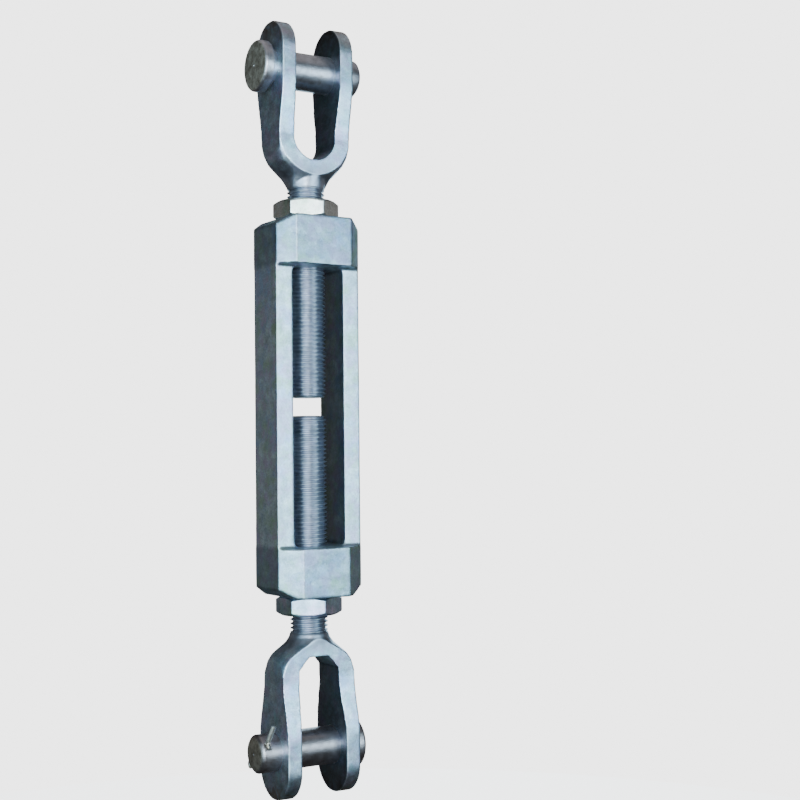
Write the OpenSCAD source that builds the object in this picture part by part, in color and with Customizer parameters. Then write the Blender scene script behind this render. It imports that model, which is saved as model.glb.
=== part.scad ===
// Jaw and jaw rigging turnbuckle with an open frame, M36 screws and lock nuts.
// The screws run along Z, the clevis pins along X, and -Y is the front.
// The origin is the centre of the frame.

/* [Frame] */
// Width of the frame over its two side bars
frame_w = 89.4; // [86:0.2:96]
// Length of the frame over its two end blocks
frame_l = 360; // [340:1:420]
// Width of the slot between the side bars
slot_w = 54.4; // [50:0.2:58]
// Length of the slot between the end blocks
slot_l = 266; // [240:1:280]
// Radius of the slot's four corners
slot_corner_r = 7; // [3:0.5:12]
// Depth of the side bars
bar_d = 47.4; // [40:0.2:56]
// Depth of the end blocks
block_d = 76; // [66:0.5:84]
// Width of the upper end block's front flat
upper_flat_w = 59; // [44:0.5:70]
// Width of the lower end block's front flat
lower_flat_w = 49; // [44:0.5:70]
// Width of the flat on each end of the frame
end_flat_w = 60; // [56:0.5:66]
// Drop of the sloped shoulders beside that flat
shoulder_drop = 8.5; // [4:0.5:12]

/* [Screws] */
// Outside diameter of the screw threads
screw_d = 36; // [35:0.5:37]
// Radial clearance of a screw in its threaded hole
screw_clearance = 0.05; // [0.02:0.01:0.1]
// Distance of each screw's inner end from the frame's centre
screw_gap = 8.8; // [8.5:0.1:20]
// Chamfer on the screws' inner ends
screw_chamfer = 2.5; // [1:0.1:3]

/* [Lock nuts] */
// Size of the nuts across their flats
nut_af = 55; // [53:0.5:58]
// Height of the nuts
nut_h = 18; // [14:0.5:20]
// Turn of the upper nut about its screw
upper_nut_turn = -25.5; // [-30:0.5:30]
// Turn of the lower nut about its screw
lower_nut_turn = -29; // [-30:0.5:30]

/* [Jaws] */
// Distance of each clevis pin's axis from the frame's centre
pin_z = 324; // [310:1:340]
// Distance of the ear tips from the frame's centre
tip_z = 369; // [366:0.5:374]
// Gap between a jaw's two ears
jaw_gap = 47; // [44:0.5:50]
// Thickness of the upper jaw's ears
upper_ear_t = 14.5; // [11:0.1:16]
// Thickness of the lower jaw's ears
lower_ear_t = 15; // [11:0.1:16]
// Half the depth of the upper jaw's ears at the pin
upper_eye_r = 28.5; // [27:0.5:31]
// Half the depth of the lower jaw's ears at the pin
lower_eye_r = 30; // [27:0.5:31]
// Half the depth of the jaws at the crotch
leg_half_d = 20; // [18:0.5:24]
// Distance of the crotch from the frame's centre
crotch_z = 236; // [232:0.5:242]

/* [Clevis pins] */
// Diameter of the clevis pins
pin_d = 36; // [34:0.5:37]
// Radial clearance of a clevis pin in the ears
pin_clearance = 0.08; // [0.03:0.01:0.1]
// Length of the pins under the head
pin_l = 98; // [96:0.5:104]
// Diameter of the pin heads
head_d = 49; // [44:0.5:52]
// Thickness of the pin heads
head_t = 10; // [7:0.5:12]
// Chamfer on the outer edge of the pin heads
head_chamfer = 3; // [1:0.5:4]
// Chamfer on the pin tails
tail_chamfer = 3.5; // [1:0.5:4]
// Gap between the upper pin's head and its ear
upper_pin_float = 6; // [0:0.5:9]
// Gap between the lower pin's head and its ear
lower_pin_float = 0.3; // [0.2:0.1:6]

/* [Cotter pins] */
// Diameter of the cotter holes
cotter_hole_d = 5.8; // [5.6:0.1:6.5]
// Diameter of a closed cotter
cotter_d = 5; // [4.6:0.1:5.4]
// Distance of the cotter holes from the pins' tail ends
cotter_edge = 7; // [6:0.5:9]
// Rise of the lower cotter's split end above level
lower_cotter_rise = 35; // [0:1:60]
// Rise of the upper cotter's split end above level
upper_cotter_rise = 90; // [60:1:120]

/* [Hidden] */
$fn = 96;
cut = 1;                                // overshoot of every cutting shape
bore_r = screw_d / 2 + screw_clearance;
bore_chamfer = 1.8;
block_l = (frame_l - slot_l) / 2;
ear_hole_r = pin_d / 2 + pin_clearance;
nut_corner_d = nut_af / cos(30);
nut_face_d = 0.94 * nut_af;             // washer face of the nut
nut_chamfer_h = (nut_corner_d - nut_face_d) / 2 * tan(30);
upper_neck_z = 205;                     // the upper screw meets its jaw here
lower_neck_z = 213;                     // the lower screw meets its jaw here
shoulder_top_z = 243;                   // the shoulder's height is measured to here
eye_low_z = 306;                        // the ears have their full depth from here
leg_high_z = 262;                       // the ears have their leg depth up to here
crotch_taper = 2;                       // a crotch is this much narrower each side
arch_flat_w = 20;                       // flat of the lower jaw's arched crotch
arch_drop = 12;                         // its sloped corners' height
centre_mark_r = 1.8;                    // lathe centre in each end of the pins
leg_r = 0.3 * cotter_d;                 // wire of the cotter's eye and split legs
cotter_eye_r = 3.7;                     // bend radius of the cotter's eye

// ---- Frame ----

// Plan of an end block: a rectangle whose corners are cut back to the side bars
module block_plan(flat_w) {
    polygon([
        [-flat_w / 2, -block_d / 2],
        [flat_w / 2, -block_d / 2],
        [frame_w / 2, -bar_d / 2],
        [frame_w / 2, bar_d / 2],
        [flat_w / 2, block_d / 2],
        [-flat_w / 2, block_d / 2],
        [-frame_w / 2, bar_d / 2],
        [-frame_w / 2, -bar_d / 2]
    ]);
}

// Front outline of the frame, with sloped shoulders at both ends
module frame_outline() {
    side = frame_w / 2;
    flat = end_flat_w / 2;
    end = frame_l / 2;
    shoulder = end - shoulder_drop;
    polygon([
        [-side, -shoulder],
        [-flat, -end],
        [flat, -end],
        [side, -shoulder],
        [side, shoulder],
        [flat, end],
        [-flat, end],
        [-side, shoulder]
    ]);
}

// Front outline of the slot, with round corners
module slot_outline() {
    corner_x = slot_w / 2 - slot_corner_r;
    corner_y = slot_l / 2 - slot_corner_r;
    square([slot_w, 2 * corner_y], center = true);
    square([2 * corner_x, slot_l], center = true);
    for (x = [-corner_x, corner_x])
        for (y = [-corner_y, corner_y])
            translate([x, y]) circle(r = slot_corner_r);
}

// Stands a front outline up and gives it a depth along Y
module standing(depth) {
    rotate([90, 0, 0])
        linear_extrude(height = depth, center = true) children();
}

// End block above the slot, before its shoulders are sloped
module end_block(flat_w) {
    translate([0, 0, slot_l / 2])
        linear_extrude(height = block_l) block_plan(flat_w);
}

// Threaded hole of one end block, chamfered at both mouths
module block_bore() {
    low = slot_l / 2;
    high = frame_l / 2;
    translate([0, 0, low - cut]) cylinder(h = block_l + 2 * cut, r = bore_r);
    translate([0, 0, high - bore_chamfer])
        cylinder(h = bore_chamfer + cut, r1 = bore_r, r2 = bore_r + bore_chamfer + cut);
    translate([0, 0, low - cut])
        cylinder(h = bore_chamfer + cut, r1 = bore_r + bore_chamfer + cut, r2 = bore_r);
}

module frame_body() {
    color("lightsteelblue") difference() {
        intersection() {
            union() {
                end_block(upper_flat_w);
                mirror([0, 0, 1]) end_block(lower_flat_w);
                standing(bar_d) difference() {
                    square([frame_w, frame_l], center = true);
                    slot_outline();
                }
            }
            standing(block_d + 2 * cut) frame_outline();
        }
        block_bore();
        mirror([0, 0, 1]) block_bore();
    }
}

// ---- Jaws: each is drawn pointing up, and the lower one is turned over ----

// Side outline of the ears: round eye, then a taper down to the legs
module ear_outline(eye_r) {
    eye_z = tip_z - eye_r;
    translate([0, eye_z]) circle(r = eye_r);
    polygon([
        [-leg_half_d, upper_neck_z],
        [leg_half_d, upper_neck_z],
        [leg_half_d, leg_high_z],
        [eye_r, eye_low_z],
        [eye_r, eye_z],
        [-eye_r, eye_z],
        [-eye_r, eye_low_z],
        [-leg_half_d, leg_high_z]
    ]);
}

// Round body that the fork is cut from: a flared neck, then rounded shoulders
module neck_blank(neck_z) {
    root_r = screw_d / 2;
    blank_r = 60;
    flare_h = shoulder_top_z - neck_z;
    rotate_extrude() polygon([
        [0, neck_z],
        [root_r, neck_z],
        [root_r + 1.6, neck_z + 0.2 * flare_h],
        [root_r + 5, neck_z + 0.37 * flare_h],
        [root_r + 18, neck_z + 0.74 * flare_h],
        [root_r + 22, neck_z + 0.95 * flare_h],
        [root_r + 25, neck_z + 1.3 * flare_h],
        [root_r + 27, neck_z + 1.8 * flare_h],
        [blank_r, neck_z + 2 * flare_h],
        [blank_r, tip_z + cut],
        [0, tip_z + cut]
    ]);
}

// Front outline of a round crotch, which widens a little towards the ears
module round_crotch() {
    half = jaw_gap / 2;
    crotch_r = half - crotch_taper;
    translate([0, crotch_z + crotch_r]) circle(r = crotch_r);
    polygon([
        [-crotch_r, crotch_z + crotch_r],
        [crotch_r, crotch_z + crotch_r],
        [half, eye_low_z],
        [half, tip_z + crotch_z],
        [-half, tip_z + crotch_z],
        [-half, eye_low_z]
    ]);
}

// Front outline of an arched crotch with sloped corners
module arched_crotch() {
    half = jaw_gap / 2;
    polygon([
        [-arch_flat_w / 2, crotch_z],
        [arch_flat_w / 2, crotch_z],
        [half - 1.5 * crotch_taper, crotch_z + arch_drop],
        [half - crotch_taper, leg_high_z + arch_drop],
        [half, eye_low_z],
        [half, tip_z + crotch_z],
        [-half, tip_z + crotch_z],
        [-half, eye_low_z],
        [-half + crotch_taper, leg_high_z + arch_drop],
        [-half + 1.5 * crotch_taper, crotch_z + arch_drop]
    ]);
}

// Round web: the front faces end on an arc round the crotch and slope back from it
module round_web(half_w) {
    web_z = crotch_z + jaw_gap / 2;
    translate([0, 0, web_z]) rotate([90, 0, 0]) rotate_extrude() polygon([
        [0, -leg_half_d],
        [half_w, -leg_half_d],
        [half_w + leg_half_d, 0],
        [half_w, leg_half_d],
        [0, leg_half_d]
    ]);
    translate([-half_w - cut, -tip_z / 2, web_z])
        cube([2 * (half_w + cut), tip_z, tip_z]);
}

// Neck that joins a round web to its screw
module round_neck(neck_z) {
    root_r = screw_d / 2;
    rotate_extrude() polygon([
        [0, neck_z],
        [root_r, neck_z],
        [root_r + 0.6, neck_z + 8],
        [leg_half_d, neck_z + 19],
        [0, neck_z + 19]
    ]);
}

// Screw from its chamfered inner end up into the jaw's web
module screw(neck_z) {
    r = screw_d / 2;
    rotate_extrude() polygon([
        [0, screw_gap],
        [r - screw_chamfer, screw_gap],
        [r, screw_gap + screw_chamfer],
        [r, neck_z + 2 * cut],
        [0, neck_z + 2 * cut]
    ]);
}

// Fork with its pin holes, without its screw; children() is the crotch's outline
module fork(ear_t, eye_r, neck_z) {
    width = jaw_gap + 2 * ear_t;
    difference() {
        intersection() {
            neck_blank(neck_z);
            rotate([90, 0, 90])
                linear_extrude(height = width, center = true) ear_outline(eye_r);
        }
        standing(2 * eye_r + 2 * cut) children();
        translate([-width / 2 - cut, 0, pin_z]) rotate([0, 90, 0])
            cylinder(h = width + 2 * cut, r = ear_hole_r);
    }
}

module upper_jaw() {
    color("lightslategray") {
        intersection() {
            fork(upper_ear_t, upper_eye_r, upper_neck_z) round_crotch();
            round_web(jaw_gap / 2 + upper_ear_t);
        }
        round_neck(upper_neck_z);
        screw(upper_neck_z);
    }
}

module lower_jaw() {
    color("lightslategray") rotate([180, 0, 0]) {
        fork(lower_ear_t, lower_eye_r, lower_neck_z) arched_crotch();
        screw(lower_neck_z);
    }
}

// ---- Lock nuts ----

// Thin hexagon nut, chamfered on both faces, standing on z = 0
module lock_nut() {
    face_r = nut_face_d / 2;
    corner_r = nut_corner_d / 2;
    difference() {
        intersection() {
            rotate([0, 0, 30]) cylinder(h = nut_h, r = corner_r, $fn = 6);
            rotate_extrude() polygon([
                [0, 0],
                [face_r, 0],
                [corner_r, nut_chamfer_h],
                [corner_r, nut_h - nut_chamfer_h],
                [face_r, nut_h],
                [0, nut_h]
            ]);
        }
        translate([0, 0, -cut]) cylinder(h = nut_h + 2 * cut, r = bore_r);
        translate([0, 0, nut_h - bore_chamfer])
            cylinder(h = bore_chamfer + cut, r1 = bore_r, r2 = bore_r + bore_chamfer + cut);
    }
}

module upper_lock_nut() {
    color("gainsboro") translate([0, 0, frame_l / 2])
        rotate([0, 0, upper_nut_turn]) lock_nut();
}

module lower_lock_nut() {
    color("gainsboro") rotate([180, 0, 0]) translate([0, 0, frame_l / 2])
        rotate([0, 0, -lower_nut_turn]) lock_nut();
}

// ---- Clevis pins and cotters: drawn along +X from under the head ----

// Headed pin with a chamfered tail and a lathe centre in each end
module clevis_pin(cotter_rise) {
    r = pin_d / 2;
    head_r = head_d / 2;
    difference() {
        rotate([0, 90, 0]) rotate_extrude() polygon([
            [0, -head_t + centre_mark_r],
            [centre_mark_r, -head_t],
            [head_r - head_chamfer, -head_t],
            [head_r, -head_t + head_chamfer],
            [head_r, 0],
            [r, 0],
            [r, pin_l - tail_chamfer],
            [r - tail_chamfer, pin_l],
            [centre_mark_r, pin_l],
            [0, pin_l - centre_mark_r]
        ]);
        translate([pin_l - cotter_edge, 0, 0]) rotate([-cotter_rise, 0, 0])
            rotate([90, 0, 0])
                cylinder(h = pin_d + 2 * cut, d = cotter_hole_d, center = true);
    }
}

// Straight round wire from a to b
module wire(a, b, r) {
    span = b - a;
    length = norm(span);
    tilt = acos(span[2] / length);
    heading = atan2(span[1], span[0]);
    translate(a) rotate([0, tilt, heading]) cylinder(h = length, r = r);
}

// Cotter through the pin along -Y: an eye behind and two split legs in front
module cotter(long_tip, short_tip) {
    stem_r = cotter_d / 2;
    back_y = pin_d / 2 + 2;
    front_y = -pin_d / 2 - 1;
    leg_y = front_y + leg_r / 3;
    wire([0, back_y, 0], [0, front_y, 0], stem_r);
    wire([0, leg_y, leg_r / 2], long_tip, leg_r);
    wire([0, leg_y, -leg_r / 2], short_tip, leg_r);
    translate([0, back_y + cotter_eye_r, 0]) rotate([0, 90, 0]) rotate_extrude()
        translate([cotter_eye_r, 0]) circle(r = leg_r);
}

// Places a pin or a cotter in a jaw: head on the -X side, or on +X if flipped
module in_ears(z, ear_t, float_gap, flipped) {
    reach = jaw_gap / 2 + ear_t + float_gap;
    translate([0, 0, z]) mirror([flipped ? 1 : 0, 0, 0])
        translate([-reach, 0, 0]) children();
}

module upper_clevis_pin() {
    color("rosybrown") in_ears(pin_z, upper_ear_t, upper_pin_float, false)
        clevis_pin(upper_cotter_rise);
}

module lower_clevis_pin() {
    color("rosybrown") in_ears(-pin_z, lower_ear_t, lower_pin_float, true)
        clevis_pin(lower_cotter_rise);
}

module upper_cotter_pin() {
    color("wheat") in_ears(pin_z, upper_ear_t, upper_pin_float, false)
        translate([pin_l - cotter_edge, 0, 0]) rotate([-upper_cotter_rise, 0, 0])
            cotter([-1, -25, 6], [1, -24, -6]);
}

module lower_cotter_pin() {
    color("wheat") in_ears(-pin_z, lower_ear_t, lower_pin_float, true)
        translate([pin_l - cotter_edge, 0, 0]) rotate([-lower_cotter_rise, 0, 0])
            cotter([-3, -36, 13], [0, -22, -6]);
}

frame_body();
upper_jaw();
lower_jaw();
upper_lock_nut();
lower_lock_nut();
upper_clevis_pin();
lower_clevis_pin();
upper_cotter_pin();
lower_cotter_pin();
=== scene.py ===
"""Looks of the rigging turnbuckle: meshes, metals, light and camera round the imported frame.

Meshes are worked in millimetres in the frame's own axes and scaled to metres last.
"""

import math

import bmesh
import bpy
from mathutils import Matrix, Vector, noise


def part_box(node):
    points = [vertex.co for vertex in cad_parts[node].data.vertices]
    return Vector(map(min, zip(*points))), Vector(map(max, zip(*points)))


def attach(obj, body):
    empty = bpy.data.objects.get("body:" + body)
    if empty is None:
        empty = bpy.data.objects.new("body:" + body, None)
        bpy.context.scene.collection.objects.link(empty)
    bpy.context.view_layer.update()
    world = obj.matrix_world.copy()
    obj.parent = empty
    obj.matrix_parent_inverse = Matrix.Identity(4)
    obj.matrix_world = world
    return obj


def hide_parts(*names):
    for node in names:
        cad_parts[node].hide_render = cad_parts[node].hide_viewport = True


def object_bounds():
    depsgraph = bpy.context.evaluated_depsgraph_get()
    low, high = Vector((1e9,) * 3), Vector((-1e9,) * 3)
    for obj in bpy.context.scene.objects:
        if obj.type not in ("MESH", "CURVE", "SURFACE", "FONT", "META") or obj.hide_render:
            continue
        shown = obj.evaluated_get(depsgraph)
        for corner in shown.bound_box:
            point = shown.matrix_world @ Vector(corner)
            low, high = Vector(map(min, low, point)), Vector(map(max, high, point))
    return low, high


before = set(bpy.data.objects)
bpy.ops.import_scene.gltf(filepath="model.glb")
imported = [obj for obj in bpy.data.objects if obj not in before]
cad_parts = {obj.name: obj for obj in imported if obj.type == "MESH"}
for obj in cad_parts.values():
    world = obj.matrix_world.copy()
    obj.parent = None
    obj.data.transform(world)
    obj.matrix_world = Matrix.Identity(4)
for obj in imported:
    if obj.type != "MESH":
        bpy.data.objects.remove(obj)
cad_low, cad_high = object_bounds()

MM = 0.001
DOWN = Matrix.Rotation(math.pi, 4, "X")  # turns a piece drawn pointing up over


def size_mm(node):
    """Lowest and highest corner of a CAD node, in millimetres."""
    low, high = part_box(node)
    return low / MM, high / MM


# ---- Sizes, in millimetres: outer ones from the frame, inner ones as in the CAD ----

frame_high = size_mm("frame_body")[1]
frame_half_w = frame_high.x
frame_half_l = frame_high.z
block_half_d = frame_high.y
bar_half_d = 23.7
slot_half_w = 27.2
slot_half_l = 133
slot_corner_r = 7
upper_flat_half_w = 29.5
lower_flat_half_w = 24.5
end_flat_half_w = 30
shoulder_drop = 8.5

jaw_gap = 47
crotch_z = 236
leg_half_d = 20
pin_z = 324
tip_z = size_mm("upper_jaw")[1].z
shoulder_top_z = 243
eye_low_z = 306
leg_high_z = 262
crotch_taper = 2
neck_heights = {"upper": 205, "lower": 213}
arch_flat_half_w = 10
arch_drop = 12

pitch = 4
screw_r = 18
screw_inner_z = size_mm("upper_jaw")[0].z
screw_chamfer = 2.5
thread_root_r = screw_r - 0.6134 * pitch
thread_play = 0.16  # how much wider the threads in the frame and the nuts are
thread_crest_w = 0.5
thread_root_w = 1.0
hands = {"upper": -1, "lower": 1}  # left-handed above and right-handed below

nut_low, nut_high = size_mm("upper_lock_nut")
nut_h = nut_high.z - nut_low.z
nut_half_af = 27.5
nut_corner_r = nut_half_af / math.cos(math.pi / 6)
nut_face_r = 0.94 * nut_half_af
nut_mouth = 2.2  # how far the chamfer widens the nut's thread
nut_turns = {"upper": -25.5, "lower": -29}

pin_r = 18
ear_hole_r = pin_r + 0.12
head_r = size_mm("upper_clevis_pin")[1].z - pin_z
head_t = 10
head_chamfer = 3.4
under_head_fillet = 0.25
tail_chamfer = 3.5
centre_hole_r = 1.7
centre_hole_depth = 1.6
cotter_r = 2.5
cotter_hole_r = 2.9
cotter_hole_flare = 1.7
cotter_edge = 7
cotter_eye_r = 3
cotter_rise = {"upper": 90, "lower": 35}


# ---- Mesh tools ----


def new_object(name, verts, faces):
    mesh = bpy.data.meshes.new(name)
    mesh.from_pydata([tuple(v) for v in verts], [], faces)
    obj = bpy.data.objects.new(name, mesh)
    bpy.context.scene.collection.objects.link(obj)
    face_outwards(obj)
    return obj


def face_outwards(obj):
    shape = bmesh.new()
    shape.from_mesh(obj.data)
    bmesh.ops.recalc_face_normals(shape, faces=shape.faces)
    if shape.calc_volume(signed=True) < 0:
        bmesh.ops.reverse_faces(shape, faces=shape.faces)
    shape.to_mesh(obj.data)
    shape.free()


def prism(outline, low, high, across):
    """Solid with a flat outline: across says which axis it is extruded along."""
    place = {
        "X": lambda a, b, c: (c, a, b),
        "Y": lambda a, b, c: (a, c, b),
        "Z": lambda a, b, c: (a, b, c),
    }[across]
    n = len(outline)
    verts = [place(a, b, c) for c in (low, high) for a, b in outline]
    faces = [list(range(n)), list(range(n, 2 * n))]
    faces += [[i, (i + 1) % n, n + (i + 1) % n, n + i] for i in range(n)]
    return new_object("prism", verts, faces)


def revolve(profile, steps=128):
    """Solid of (radius, z) points turned about Z; the first and last lie on the axis."""
    inner = profile[1:-1]
    rings = len(inner)
    verts = [(0, 0, profile[0][1]), (0, 0, profile[-1][1])]
    for s in range(steps):
        a = 2 * math.pi * s / steps
        verts += [(r * math.cos(a), r * math.sin(a), z) for r, z in inner]
    faces = []
    for s in range(steps):
        here, there = 2 + s * rings, 2 + (s + 1) % steps * rings
        faces.append([0, here, there])
        faces.append([1, there + rings - 1, here + rings - 1])
        faces += [
            [here + k, here + k + 1, there + k + 1, there + k] for k in range(rings - 1)
        ]
    return new_object("revolve", verts, faces)


def arc(cx, cy, r, start, end, steps=16):
    """Points on an arc, angles in degrees."""
    angles = [math.radians(start + (end - start) * i / steps) for i in range(steps + 1)]
    return [(cx + r * math.cos(a), cy + r * math.sin(a)) for a in angles]


def apply_modifier(obj, kind, **settings):
    mod = obj.modifiers.new(kind.lower(), kind)
    for key, value in settings.items():
        setattr(mod, key, value)
    graph = bpy.context.evaluated_depsgraph_get()
    made = bpy.data.meshes.new_from_object(obj.evaluated_get(graph))
    old = obj.data
    obj.modifiers.clear()
    obj.data = made
    bpy.data.meshes.remove(old)


def combine(obj, tool, operation):
    """Boolean of obj with tool, which is used up."""
    apply_modifier(obj, "BOOLEAN", operation=operation, object=tool, solver="MANIFOLD")
    bpy.data.objects.remove(tool)
    return obj


def soften(obj, voxel, rounds):
    """Even quads over the whole piece, with its edges rounded by smoothing."""
    apply_modifier(obj, "REMESH", mode="VOXEL", voxel_size=voxel, adaptivity=0)
    apply_modifier(obj, "SMOOTH", factor=0.5, iterations=rounds)


def unevenness(obj, height, spacing, seed):
    """Low hills, as a forged or dipped surface has. They only go inwards."""
    offset = Vector((seed * 37.1, seed * 11.3, seed * 5.7))
    moved = []
    for v in obj.data.vertices:
        hill = noise.fractal(v.co / spacing + offset, 0.6, 2.1, 3)
        moved.extend(v.co - v.normal * height * min(max(0.5 + 0.6 * hill, 0), 1))
    obj.data.vertices.foreach_set("co", moved)
    obj.data.update()


def thread_solid(hand, low, high, grow=0.0):
    """Solid thread between two heights; hand is 1 for right and -1 for left."""
    steps = 60
    crest, root = screw_r + grow, thread_root_r + grow
    root_low = (pitch + thread_crest_w - thread_root_w) / 2
    root_high = root_low + thread_root_w
    soft, root_soft = 0.12, 0.2
    profile = [
        (0, crest - soft),
        (soft, crest),
        (thread_crest_w - soft, crest),
        (thread_crest_w, crest - soft),
        (root_low, root + soft),
        (root_low + root_soft, root),
        (root_high - root_soft, root),
        (root_high, root + soft),
    ]
    per_turn = len(profile)
    first = math.floor(low / pitch) - 2
    count = (math.ceil(high / pitch) + 2 - first) * per_turn
    verts = []
    for j in range(steps):
        a = 2 * math.pi * j / steps
        for m in range(count):
            z, r = profile[m % per_turn]
            z += (first + m // per_turn + hand * j / steps) * pitch
            verts.append((r * math.cos(a), r * math.sin(a), z))
    faces = []
    for j in range(steps):
        wrap = j == steps - 1
        shift = hand * per_turn if wrap else 0
        there = 0 if wrap else (j + 1) * count
        for m in range(count - 1):
            a, b = m + shift, m + 1 + shift
            if 0 <= a and b < count:
                here = j * count + m
                faces.append([here, here + 1, there + b, there + a])
    obj = new_object("thread", verts, faces)
    shape = bmesh.new()
    shape.from_mesh(obj.data)
    edges = [e for e in shape.edges if e.is_boundary]
    bmesh.ops.holes_fill(shape, edges=edges, sides=0)
    bmesh.ops.triangulate(shape, faces=[f for f in shape.faces if len(f.verts) > 4])
    shape.to_mesh(obj.data)
    shape.free()
    face_outwards(obj)
    return obj


def finish_piece(obj, name, node, body, material, flip=False):
    """Names a piece, scales it to metres, and hands it to the frame."""
    obj.name = name
    obj.data.name = name
    if flip:
        obj.data.transform(DOWN)
    obj.data.transform(Matrix.Scale(MM, 4))
    obj.data.materials.clear()
    obj.data.materials.append(material)
    obj.data.shade_smooth()
    obj.data.set_sharp_from_angle(angle=math.radians(40))
    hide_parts(node)
    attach(obj, body)


# ---- Pieces ----


def mirrored(points):
    """Closed outline from its right half, listed from the bottom up."""
    return points + [(-x, y) for x, y in reversed(points)]


def make_frame():
    side, flat, end = frame_half_w, end_flat_half_w, frame_half_l
    shoulder = end - shoulder_drop

    def block(flat_half, low, high):
        right = [(flat_half, -block_half_d), (side, -bar_half_d)]
        right += [(side, bar_half_d), (flat_half, block_half_d)]
        return prism(mirrored(right), low, high, "Z")

    body = prism(mirrored([(side, -end), (side, end)]), -bar_half_d, bar_half_d, "Y")
    inner_x, inner_z = slot_half_w - slot_corner_r, slot_half_l - slot_corner_r
    right = arc(inner_x, -inner_z, slot_corner_r, -90, 0)
    right += arc(inner_x, inner_z, slot_corner_r, 0, 90)
    slot = prism(mirrored(right), -block_half_d, block_half_d, "Y")
    combine(body, slot, "DIFFERENCE")
    combine(body, block(upper_flat_half_w, slot_half_l, end), "UNION")
    combine(body, block(lower_flat_half_w, -end, -slot_half_l), "UNION")
    right = [(flat, -end), (side, -shoulder), (side, shoulder), (flat, end)]
    limit = prism(mirrored(right), -block_half_d - 1, block_half_d + 1, "Y")
    combine(body, limit, "INTERSECT")
    soften(body, 1.3, 5)
    unevenness(body, 0.16, 26, 1)
    upper_bore = thread_solid(hands["upper"], slot_half_l, end, thread_play)
    lower_bore = thread_solid(hands["lower"], slot_half_l, end, thread_play)
    lower_bore.data.transform(DOWN)
    combine(body, upper_bore, "DIFFERENCE")
    combine(body, lower_bore, "DIFFERENCE")
    return body


def crotch(kind):
    """Tool that cuts the gap between a jaw's ears."""
    half, top = jaw_gap / 2, tip_z + 10
    if kind == "upper":
        round_r = half - crotch_taper
        right = arc(0, crotch_z + round_r, round_r, -90, 0, 24)
        right += [(half, eye_low_z), (half, top)]
    else:
        corner_w = half - 1.5 * crotch_taper
        right = [(arch_flat_half_w, crotch_z), (corner_w, crotch_z + arch_drop)]
        right += [(half - crotch_taper, leg_high_z + arch_drop), (half, eye_low_z), (half, top)]
    return prism(mirrored(right), -60, 60, "Y")


def round_web(half_w):
    """Limit whose front faces end on an arc round the crotch and slope back from it."""
    web_z, depth = crotch_z + jaw_gap / 2, leg_half_d
    cone = revolve(
        [(0, -depth), (half_w, -depth), (half_w + depth, 0), (half_w, depth), (0, depth)]
    )
    upright = Matrix.Rotation(math.pi / 2, 4, "X")
    cone.data.transform(Matrix.Translation((0, 0, web_z)) @ upright)
    side = half_w + 1
    above = [(side, web_z), (side, tip_z + 1)]
    return combine(cone, prism(mirrored(above), -60, 60, "Y"), "UNION")


def make_jaw(kind):
    """Jaw and screw in one piece, pointing up."""
    high = size_mm(kind + "_jaw")[1]
    half_w, eye_r = high.x, high.y
    neck_z = neck_heights[kind]
    flare = shoulder_top_z - neck_z
    thread_end = neck_z + (4 if kind == "upper" else 1)
    body = revolve(
        [
            (0, thread_end),
            (screw_r - 0.2, thread_end),
            (screw_r + 0.6, thread_end + 1.5),
            (screw_r + 1.6, neck_z + 0.2 * flare),
            (screw_r + 5, neck_z + 0.37 * flare),
            (screw_r + 18, neck_z + 0.74 * flare),
            (screw_r + 22, neck_z + 0.95 * flare),
            (screw_r + 25, neck_z + 1.3 * flare),
            (screw_r + 27, neck_z + 1.8 * flare),
            (60, neck_z + 2 * flare),
            (60, tip_z),
            (0, tip_z),
        ]
    )
    right = [(leg_half_d, neck_z - 8)]
    steps = 16
    swell_low, swell_high = leg_high_z - 8, eye_low_z + 8
    for k in range(steps + 1):
        swell = (1 - math.cos(math.pi * k / steps)) / 2
        z = swell_low + (swell_high - swell_low) * k / steps
        right.append((leg_half_d + (eye_r - leg_half_d) * swell, z))
    right += arc(0, tip_z - eye_r, eye_r, 0, 90, 32)
    combine(body, prism(mirrored(right), -half_w, half_w, "X"), "INTERSECT")
    if kind == "upper":
        combine(body, round_web(half_w), "INTERSECT")
        neck = [(0, thread_end), (screw_r - 0.2, thread_end), (screw_r + 0.6, neck_z + 8)]
        neck += [(leg_half_d, neck_z + 19), (0, neck_z + 19)]
        combine(body, revolve(neck), "UNION")
    combine(body, crotch(kind), "DIFFERENCE")
    soften(body, 1.0, 4)
    unevenness(body, 0.25, 22, 2 if kind == "upper" else 3)
    hole = revolve([(0, -60), (ear_hole_r, -60), (ear_hole_r, 60), (0, 60)])
    along_pin = Matrix.Rotation(math.pi / 2, 4, "Y")
    hole.data.transform(Matrix.Translation((0, 0, pin_z)) @ along_pin)
    combine(body, hole, "DIFFERENCE")
    inside_jaw = thread_end + 3
    thread = thread_solid(hands[kind], screw_inner_z, inside_jaw)
    limit = revolve(
        [
            (0, screw_inner_z),
            (screw_r - screw_chamfer, screw_inner_z),
            (screw_r, screw_inner_z + screw_chamfer),
            (screw_r, inside_jaw),
            (0, inside_jaw),
        ]
    )
    combine(thread, limit, "INTERSECT")
    combine(body, thread, "UNION")
    return body


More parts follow.
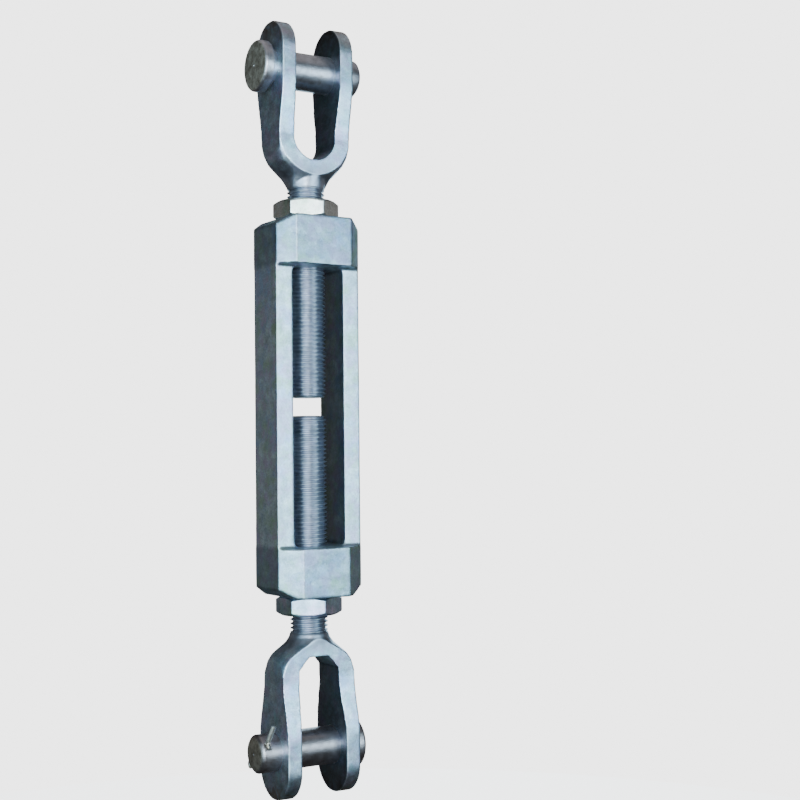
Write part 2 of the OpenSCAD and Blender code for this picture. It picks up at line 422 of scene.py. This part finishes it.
def make_nut(kind):
    """Thin lock nut in place on the frame's upper end; the lower one is turned over."""
    base, top = frame_half_l, frame_half_l + nut_h
    turn = nut_turns[kind] if kind == "upper" else -nut_turns[kind]
    corners = arc(0, 0, nut_corner_r, turn, turn + 300, 5)
    nut = prism(corners, base, top, "Z")
    drop = (nut_corner_r - nut_face_r) * math.tan(math.pi / 6)
    limit = revolve(
        [
            (0, base),
            (nut_face_r, base),
            (nut_corner_r + 1, base + drop),
            (nut_corner_r + 1, top - drop),
            (nut_face_r, top),
            (0, top),
        ]
    )
    combine(nut, limit, "INTERSECT")
    soften(nut, 0.6, 4)
    mouth_r = screw_r + nut_mouth
    for z, way in ((base, 1), (top, -1)):
        apex_z = z + way * (mouth_r - thread_root_r)
        cone = revolve(
            [
                (0, z - way * 2),
                (mouth_r, z - way * 2),
                (mouth_r, z - way * 0.2),
                (thread_root_r, apex_z),
                (0, apex_z),
            ]
        )
        combine(nut, cone, "DIFFERENCE")
    combine(nut, thread_solid(hands[kind], base, top, thread_play), "DIFFERENCE")
    return nut


def placed_on_pin(obj, kind, along=0.0, rise=0.0):
    """Moves a piece drawn from under the head along +X into its place in the ears."""
    low, high = size_mm(kind + "_clevis_pin")
    turn = Matrix.Rotation(math.radians(-rise), 4, "X")
    obj.data.transform(Matrix.Translation((along, 0, 0)) @ turn)
    if kind == "upper":
        obj.data.transform(Matrix.Translation((low.x + head_t, 0, pin_z)))
    else:
        obj.data.transform(Matrix.Scale(-1, 4, (1, 0, 0)))
        obj.data.flip_normals()
        obj.data.transform(Matrix.Translation((high.x - head_t, 0, -pin_z)))
    return obj


def pin_length(kind):
    """Length under the head."""
    low, high = size_mm(kind + "_clevis_pin")
    return high.x - low.x - head_t


def make_pin(kind):
    """Headed pin with a centre hole in each end and a flared hole for its cotter."""
    length, tail_r = pin_length(kind), pin_r - tail_chamfer
    body = revolve(
        [(0, -head_t + centre_hole_depth), (centre_hole_r, -head_t)]
        + arc(head_r - head_chamfer, -head_t + head_chamfer, head_chamfer, -90, 0, 10)
        + arc(head_r - 1, -1, 1, 0, 90, 6)
        + [(pin_r + under_head_fillet, 0), (pin_r, under_head_fillet)]
        + [(pin_r, 25), (pin_r, 50), (pin_r, 75)]
        + [(pin_r, length - tail_chamfer), (pin_r - 0.4, length - tail_chamfer + 0.9)]
        + [(tail_r + 0.5, length - 0.5), (tail_r - 0.8, length)]
        + [(centre_hole_r, length), (0, length - centre_hole_depth)],
    )
    body.data.transform(Matrix.Rotation(math.pi / 2, 4, "Y"))
    across = Matrix.Translation((length - cotter_edge, 0, 0))
    across @= Matrix.Rotation(math.radians(-cotter_rise[kind]), 4, "X")
    across @= Matrix.Rotation(math.pi / 2, 4, "X")
    reach, flared_r = pin_r + 1, cotter_hole_r + cotter_hole_flare
    straight = reach - cotter_hole_flare - 0.2
    hole = revolve(
        [
            (0, -reach),
            (flared_r, -reach),
            (cotter_hole_r, -straight),
            (cotter_hole_r, straight),
            (flared_r, reach),
            (0, reach),
        ],
        steps=48,
    )
    hole.data.transform(across)
    combine(body, hole, "DIFFERENCE")
    return placed_on_pin(body, kind)


def sweep(points, section, width_dir):
    """Closed solid along points; section is (along the width, away from the bend)."""
    verts, faces, n = [], [], len(section)
    for i, p in enumerate(points):
        ahead = points[min(i + 1, len(points) - 1)] - points[max(i - 1, 0)]
        ahead.normalize()
        side = (width_dir - ahead * width_dir.dot(ahead)).normalized()
        out = ahead.cross(side)
        verts += [p + side * u + out * v for u, v in section]
    for i in range(len(points) - 1):
        for k in range(n):
            a, b = i * n + k, i * n + (k + 1) % n
            faces.append([a, b, b + n, a + n])
    faces.append(list(range(n)))
    faces.append(list(range(len(verts) - n, len(verts))))
    return new_object("sweep", verts, faces)


def make_cotter(kind):
    """Split pin of half-round wire: two legs, an eye behind, both tips bent."""
    stem_back = pin_r + 1
    half_depth = 0.42 * cotter_r  # from the flat of the half-round wire to its middle
    leg_z = half_depth + 0.15

    def leg(tip_bend, tip_lean, tip_length, sign):
        """Straight leg from the eye to the front of the pin, then its bent tip."""
        points = [Vector((0, stem_back - 1.5 * k, sign * leg_z)) for k in range(27)]
        points = [p for p in points if p.y > -pin_r - 0.5]
        at, steps, bend_steps = points[-1], 14, 5
        for k in range(steps):
            turn = math.radians(tip_bend) * min(1, (k + 1) / bend_steps)
            lean = tip_lean * min(1, (k + 1) / bend_steps)
            way = Vector((lean, -math.cos(turn), sign * math.sin(turn))).normalized()
            at = at + way * tip_length / steps
            points.append(at)
        return points

    bends = {
        "upper": ((20, -0.05, 8), (22, 0.05, 7)),
        "lower": ((33, -0.2, 20), (62, 0.1, 5)),
    }[kind]
    first = leg(*bends[0], 1)
    second = leg(*bends[1], -1)
    eye_y, eye_open = stem_back + 1.05 * cotter_eye_r, 22
    eye = arc(0, eye_y, cotter_eye_r, -90 + eye_open, 270 - eye_open, 24)
    path = first[::-1] + [Vector((0, y, z)) for z, y in eye] + second
    section = arc(0, -half_depth, cotter_r, 0, 180, 12)
    burr = 0.105
    section[0] = (cotter_r + burr, -half_depth)
    wire = sweep(path, section, Vector((1, 0, 0)))
    return placed_on_pin(wire, kind, pin_length(kind) - cotter_edge, cotter_rise[kind])


# ---- Materials ----


class Nodes:
    """Small helper around one material's node tree."""

    def __init__(self, name):
        self.material = bpy.data.materials.new(name)
        self.material.use_nodes = True
        self.tree = self.material.node_tree
        self.shader = self.tree.nodes["Principled BSDF"]

    def add(self, kind, **settings):
        node = self.tree.nodes.new(kind)
        for key, value in settings.items():
            if key in node.inputs:
                node.inputs[key].default_value = value
            else:
                setattr(node, key, value)
        return node

    def link(self, source, target):
        self.tree.links.new(source, target)

    def noise(self, scale, detail=3.0, rough=0.55, distortion=0.0, offset=(0, 0, 0)):
        """Noise of the given features per metre, in the piece's own coordinates."""
        where = self.add("ShaderNodeTexCoord")
        moved = self.add("ShaderNodeMapping", Location=offset)
        self.link(where.outputs["Object"], moved.inputs["Vector"])
        node = self.add("ShaderNodeTexNoise")
        node.inputs["Scale"].default_value = scale
        node.inputs["Detail"].default_value = detail
        node.inputs["Roughness"].default_value = rough
        node.inputs["Distortion"].default_value = distortion
        self.link(moved.outputs["Vector"], node.inputs["Vector"])
        return node.outputs["Fac"]

    def axes(self, kind):
        """X, Y and Z of a texture coordinate: Object or Normal."""
        parts = self.add("ShaderNodeSeparateXYZ")
        self.link(self.add("ShaderNodeTexCoord").outputs[kind], parts.inputs["Vector"])
        return parts.outputs

    def ramp(self, source, stops):
        node = self.add("ShaderNodeValToRGB")
        elements = node.color_ramp.elements
        while len(elements) < len(stops):
            elements.new(0.5)
        for element, (at, colour) in zip(elements, stops):
            element.position = at
            element.color = (*colour, 1)
        self.link(source, node.inputs["Fac"])
        return node.outputs["Color"]

    def grey(self, source, low, high, from_low=0.0, from_high=1.0):
        """Takes from_low and from_high to low and high, clamped."""
        node = self.add("ShaderNodeMapRange")
        node.inputs["From Min"].default_value = from_low
        node.inputs["From Max"].default_value = from_high
        node.inputs["To Min"].default_value = low
        node.inputs["To Max"].default_value = high
        self.link(source, node.inputs["Value"])
        return node.outputs["Result"]

    def mix(self, factor, a, b, blend="MIX"):
        node = self.add("ShaderNodeMix", data_type="RGBA", blend_type=blend)
        for key, value in ((0, factor), (6, a), (7, b)):
            if isinstance(value, (int, float)):
                node.inputs[key].default_value = value
            elif isinstance(value, tuple):
                node.inputs[key].default_value = (*value, 1)
            else:
                self.link(value, node.inputs[key])
        return node.outputs[2]

    def maths(self, operation, a, b):
        node = self.add("ShaderNodeMath", operation=operation)
        for key, value in ((0, a), (1, b)):
            if isinstance(value, (int, float)):
                node.inputs[key].default_value = value
            else:
                self.link(value, node.inputs[key])
        return node.outputs[0]

    def bump(self, *layers):
        """Bumps stacked on each other; each layer is (height output, distance in metres)."""
        normal = None
        for height, distance in layers:
            node = self.add("ShaderNodeBump")
            node.inputs["Strength"].default_value = 1
            node.inputs["Distance"].default_value = distance
            self.link(height, node.inputs["Height"])
            if normal is not None:
                self.link(normal, node.inputs["Normal"])
            normal = node.outputs["Normal"]
        self.link(normal, self.shader.inputs["Normal"])


def zinc(name, dark, mid, light, tints, rough, grain, seed, local=None):
    """Dipped or plated zinc: cloudy tone, faint coloured tints, edges lighter as wear and
    painted highlight, creases darker as painted shade, fine grain.
    """
    n = Nodes(name)
    shift = (seed * 1.7, seed * 0.9, seed * 0.4)
    clouds = n.noise(75, 7, 0.72, 0, shift)
    colour = n.ramp(clouds, [(0.39, dark), (0.5, mid), (0.61, light)])
    for k, tint in enumerate(tints):
        where = n.noise(34 + 13 * k, 5, 0.62, 0, (k * 3.1 + seed, k * 1.3, 2.2 * k))
        colour = n.mix(n.grey(where, 0, 0.8, 0.48, 0.64), colour, tint)
    speckle = n.noise(700, 3, 0.6, 0, shift)
    grains = n.ramp(speckle, [(0.32, (0.55,) * 3), (0.62, (1,) * 3)])
    colour = n.mix(0.5, colour, grains, "MULTIPLY")
    patches = n.noise(140, 5, 0.6, 0, shift)
    roughness = n.grey(patches, rough - 0.05, rough + 0.07, 0.3, 0.7)
    if local:
        colour, roughness = local(n, colour, roughness)
    shape = n.add("ShaderNodeNewGeometry").outputs["Pointiness"]
    # Convex edges lighter: partly wear, partly painted highlight.
    wear_and_edge_highlight, crevice_shade = tuple(min(1, 1.2 * c) for c in light), tuple(0.25 * c for c in dark)
    colour = n.mix(n.grey(shape, 0, 0.4, 0.51, 0.58), colour, wear_and_edge_highlight)
    # Hollows and creases darker: painted shade.
    colour = n.mix(n.grey(shape, 0.7, 0, 0.43, 0.495), colour, crevice_shade)
    n.link(colour, n.shader.inputs["Base Color"])
    n.shader.inputs["Metallic"].default_value = 1
    n.link(roughness, n.shader.inputs["Roughness"])
    n.bump(
        (n.noise(130, 3, 0.5, 0, shift), 0.00025 * grain),
        (n.noise(900, 3, 0.6, 0, shift), 0.00008 * grain),
    )
    return n.material


def heights(n):
    """Distance of a point from the object's middle plane, in metres."""
    return n.maths("ABSOLUTE", n.axes("Object")["Z"], 0)


def painted_inner_shade(n, colour):
    """Painted shade: darker on the faces that look inwards across the slot or the jaw's gap."""
    inwards = n.maths("MULTIPLY", n.axes("Object")["X"], n.axes("Normal")["X"])
    inner_shade = n.grey(inwards, 1, 0, -0.019, -0.01)
    return n.mix(inner_shade, colour, (0.36, 0.38, 0.4), "MULTIPLY")


def frame_tones(n, colour, roughness):
    """End blocks a little greyer than the bars between them, and painted shade in the slot."""
    on_block = n.grey(heights(n), 0, 1, (slot_half_l - 3) * MM, (slot_half_l + 2) * MM)
    colour = n.mix(on_block, colour, (0.6, 0.66, 0.67), "MULTIPLY")
    return painted_inner_shade(n, colour), roughness


def jaw_tones(n, colour, roughness):
    """Darker on the screw, a brown tinge on the ears beyond the pin, and painted shade between
    the ears.
    """
    height = heights(n)
    on_screw = n.grey(height, 0.9, 0, (shoulder_top_z - 20) * MM, (shoulder_top_z - 8) * MM)
    clouds = n.noise(90, 4, 0.6)
    steel = n.ramp(clouds, [(0.35, (0.3, 0.32, 0.38)), (0.65, (0.46, 0.48, 0.57))])
    colour = n.mix(on_screw, colour, steel)
    near_tip = n.grey(height, 0, 1, (pin_z + 12) * MM, (tip_z - 4) * MM)
    patchy = n.grey(n.noise(90, 4, 0.65, 0.5), 0.25, 1, 0.35, 0.6)
    colour = n.mix(n.maths("MULTIPLY", near_tip, patchy), colour, (0.32, 0.27, 0.24))
    return painted_inner_shade(n, colour), roughness


def turned_steel(name, seed):
    """Thin lilac-grey zinc on a turned pin, browner below; end faces dull and mottled."""
    n = Nodes(name)
    clouds = n.noise(50, 6, 0.65, 0.2, (seed, 0, 0))
    dark, mid, light = PIN_TONES
    colour = n.ramp(clouds, [(0.35, dark), (0.5, mid), (0.65, light)])
    shape = n.add("ShaderNodeNewGeometry").outputs["Pointiness"]
    # Convex edges lighter: partly wear, partly painted highlight.
    colour = n.mix(n.grey(shape, 0, 0.5, 0.51, 0.56), colour, (0.75, 0.74, 0.78))
    stains = n.grey(n.noise(80, 5, 0.7, 0.4, (0, seed, 0)), 0, 0.5, 0.54, 0.68)
    colour = n.mix(stains, colour, (0.3, 0.24, 0.2))
    on_end = n.grey(n.maths("ABSOLUTE", n.axes("Normal")["X"], 0), 0, 1, 0.75, 0.92)
    mottle = n.noise(170, 5, 0.7, 0, (0, 0, seed))
    dull = n.ramp(mottle, [(0.38, (0.36, 0.33, 0.27)), (0.62, (0.7, 0.68, 0.6))])
    colour = n.mix(on_end, colour, dull)
    on_lower = n.grey(n.axes("Object")["Z"], 1, 0, -0.1, 0.1)
    colour = n.mix(on_lower, colour, (0.72, 0.66, 0.63), "MULTIPLY")
    n.link(colour, n.shader.inputs["Base Color"])
    n.shader.inputs["Metallic"].default_value = 1
    patches = n.grey(n.noise(160, 4, 0.6, 0.3), 0.32, 0.44, 0.3, 0.7)
    roughness = n.maths("ADD", patches, n.maths("MULTIPLY", on_end, 0.15))
    n.link(roughness, n.shader.inputs["Roughness"])
    rings = n.add("ShaderNodeTexWave", wave_type="BANDS", bands_direction="X")
    where = n.add("ShaderNodeTexCoord")
    n.link(where.outputs["Object"], rings.inputs["Vector"])
    rings.inputs["Scale"].default_value = 260
    rings.inputs["Distortion"].default_value = 1.5
    n.bump((rings.outputs["Fac"], 0.00002), (n.noise(240, 3, 0.6, 0.2), 0.00014))
    return n.material


BLUE, CYAN = (0.46, 0.62, 0.9), (0.48, 0.76, 0.84)
GREEN, LILAC = (0.52, 0.72, 0.58), (0.66, 0.6, 0.84)
# Dark, middle and light tone of each finish
FRAME_TONES = ((0.5, 0.62, 0.7), (0.64, 0.78, 0.87), (0.78, 0.93, 1))
JAW_TONES = ((0.46, 0.56, 0.66), (0.62, 0.74, 0.86), (0.76, 0.9, 1))
NUT_TONES = ((0.8, 0.79, 0.76), (0.92, 0.92, 0.9), (0.98, 0.98, 0.97))
BLUE_NUT_TONES = ((0.32, 0.42, 0.52), (0.4, 0.52, 0.64), (0.5, 0.64, 0.78))
PIN_TONES = ((0.4, 0.38, 0.41), (0.54, 0.52, 0.57), (0.66, 0.64, 0.71))
COTTER_TONES = ((0.8, 0.74, 0.64), (0.92, 0.87, 0.77), (1, 0.97, 0.89))

frame_zinc = zinc("frame_zinc", *FRAME_TONES, (BLUE, GREEN, LILAC), 0.4, 1.0, 1, frame_tones)
jaw_zinc = zinc("jaw_zinc", *JAW_TONES, (BLUE, CYAN, LILAC), 0.4, 0.8, 2, jaw_tones)
nut_zinc = {
    "upper": zinc("nut_zinc", *NUT_TONES, (GREEN,), 0.34, 0.4, 3),
    "lower": zinc("blue_nut_zinc", *BLUE_NUT_TONES, (GREEN, LILAC), 0.36, 0.4, 6),
}
cotter_zinc = zinc("cotter_zinc", *COTTER_TONES, (), 0.4, 0.3, 4)
pin_steel = turned_steel("pin_steel", 5)


# ---- Assembly ----

finish_piece(make_frame(), "open_frame", "frame_body", "frame", frame_zinc)
for kind in ("upper", "lower"):
    below = kind == "lower"
    for piece, name, node, body, slot, material, flip in (
        (make_jaw(kind), "jaw_and_screw", "jaw", "end", "jaws", jaw_zinc, below),
        (make_nut(kind), "hex_nut", "lock_nut", "nut", "nuts", nut_zinc[kind], below),
        (make_pin(kind), "headed_pin", "clevis_pin", "pin", "pins", pin_steel, False),
        (make_cotter(kind), "split_pin", "cotter_pin", "pin", "cotters", cotter_zinc, False),
    ):
        name, node, body = (kind + "_" + word for word in (name, node, body))
        finish_piece(piece, name, node, body, material, flip)


# ---- Floor, light and camera ----


def make_floor():
    """Pale round floor, low enough for the turnbuckle to hang clear when fully drawn out."""
    radius, floor_z, steps = 1.2, cad_low.z - 0.245, 96
    rim = [math.tau * k / steps for k in range(steps)]
    verts = [(radius * math.cos(a), radius * math.sin(a), floor_z) for a in rim]
    floor = new_object("floor", verts, [list(range(steps))])
    n = Nodes("pale_floor")
    tone = n.ramp(n.noise(2, 3, 0.5), [(0.3, (0.86,) * 3), (0.7, (0.9,) * 3)])
    n.link(tone, n.shader.inputs["Base Color"])
    n.shader.inputs["Roughness"].default_value = 0.9
    n.shader.inputs["Emission Color"].default_value = (1, 1, 1, 1)
    n.shader.inputs["Emission Strength"].default_value = 3.2
    floor.data.materials.append(n.material)
    floor.visible_glossy = False
    floor.visible_diffuse = False


def soft_light(name, azimuth, elevation, distance, width, height, power, colour=(0.6, 0.86, 1)):
    """Area light turned to the object's centre: degrees, metres and watts."""
    data = bpy.data.lights.new(name, "AREA")
    data.shape = "RECTANGLE"
    data.size, data.size_y = width, height
    data.energy = power
    data.color = colour
    lamp = bpy.data.objects.new(name, data)
    bpy.context.scene.collection.objects.link(lamp)
    a, e = math.radians(azimuth), math.radians(elevation)
    away = Vector((math.sin(a) * math.cos(e), -math.cos(a) * math.cos(e), math.sin(e)))
    lamp.location = away * distance
    lamp.rotation_euler = (-away).to_track_quat("-Z", "Y").to_euler()


def make_world():
    """White to the camera, dim to the object, so that its unlit sides stay dark."""
    world = bpy.data.worlds.new("studio")
    bpy.context.scene.world = world
    world.use_nodes = True
    tree = world.node_tree
    tree.nodes.clear()
    out = tree.nodes.new("ShaderNodeOutputWorld")
    seen = tree.nodes.new("ShaderNodeBackground")
    seen.inputs["Color"].default_value = (1, 1, 1, 1)
    seen.inputs["Strength"].default_value = 3.6
    felt = tree.nodes.new("ShaderNodeBackground")
    felt.inputs["Color"].default_value = (1, 0.97, 0.9, 1)
    felt.inputs["Strength"].default_value = 0.03
    path = tree.nodes.new("ShaderNodeLightPath")
    both = tree.nodes.new("ShaderNodeMixShader")
    tree.links.new(path.outputs["Is Camera Ray"], both.inputs["Fac"])
    tree.links.new(felt.outputs[0], both.inputs[1])
    tree.links.new(seen.outputs[0], both.inputs[2])
    tree.links.new(both.outputs[0], out.inputs["Surface"])


def make_camera():
    """Level with the object, in front and to the left; it stands left of centre."""
    azimuth, distance, height = math.radians(28.13), 1.3414, -0.0445
    pan, tilt, roll = math.radians(3.81), math.radians(2.15), math.radians(-0.61)
    data = bpy.data.cameras.new("camera")
    data.lens = 62.7
    data.sensor_width = 36
    camera = bpy.data.objects.new("camera", data)
    bpy.context.scene.collection.objects.link(camera)
    camera.location = (-math.sin(azimuth) * distance, -math.cos(azimuth) * distance, height)
    heading, level = azimuth + pan, math.cos(tilt)
    ahead = Vector((math.sin(heading) * level, math.cos(heading) * level, math.sin(tilt)))
    look = ahead.to_track_quat("-Z", "Y").to_matrix().to_4x4()
    camera.rotation_euler = (look @ Matrix.Rotation(roll, 4, "Z")).to_euler()
    bpy.context.scene.camera = camera


make_floor()
make_world()
soft_light("key_softbox", -50, 2, 2.2, 2.0, 1.3, 58)
soft_light("flash", -24, 2, 2.2, 0.45, 0.9, 26, (0.9, 0.97, 1))
soft_light("front_softbox", 20, 2, 2.2, 1.3, 1.2, 32)
soft_light("right_fill", 92, 0, 2.2, 1.0, 1.4, 1.1, (1, 0.95, 0.9))
soft_light("left_fill", -152, 0, 2.4, 1.6, 1.4, 0.85, (1, 0.97, 0.9))
soft_light("back_softbox", 140, 8, 2.4, 1.4, 1.5, 24)
soft_light("overhead", 0, 90, 1.6, 2.4, 2.4, 7, (1, 1, 1))
make_camera()
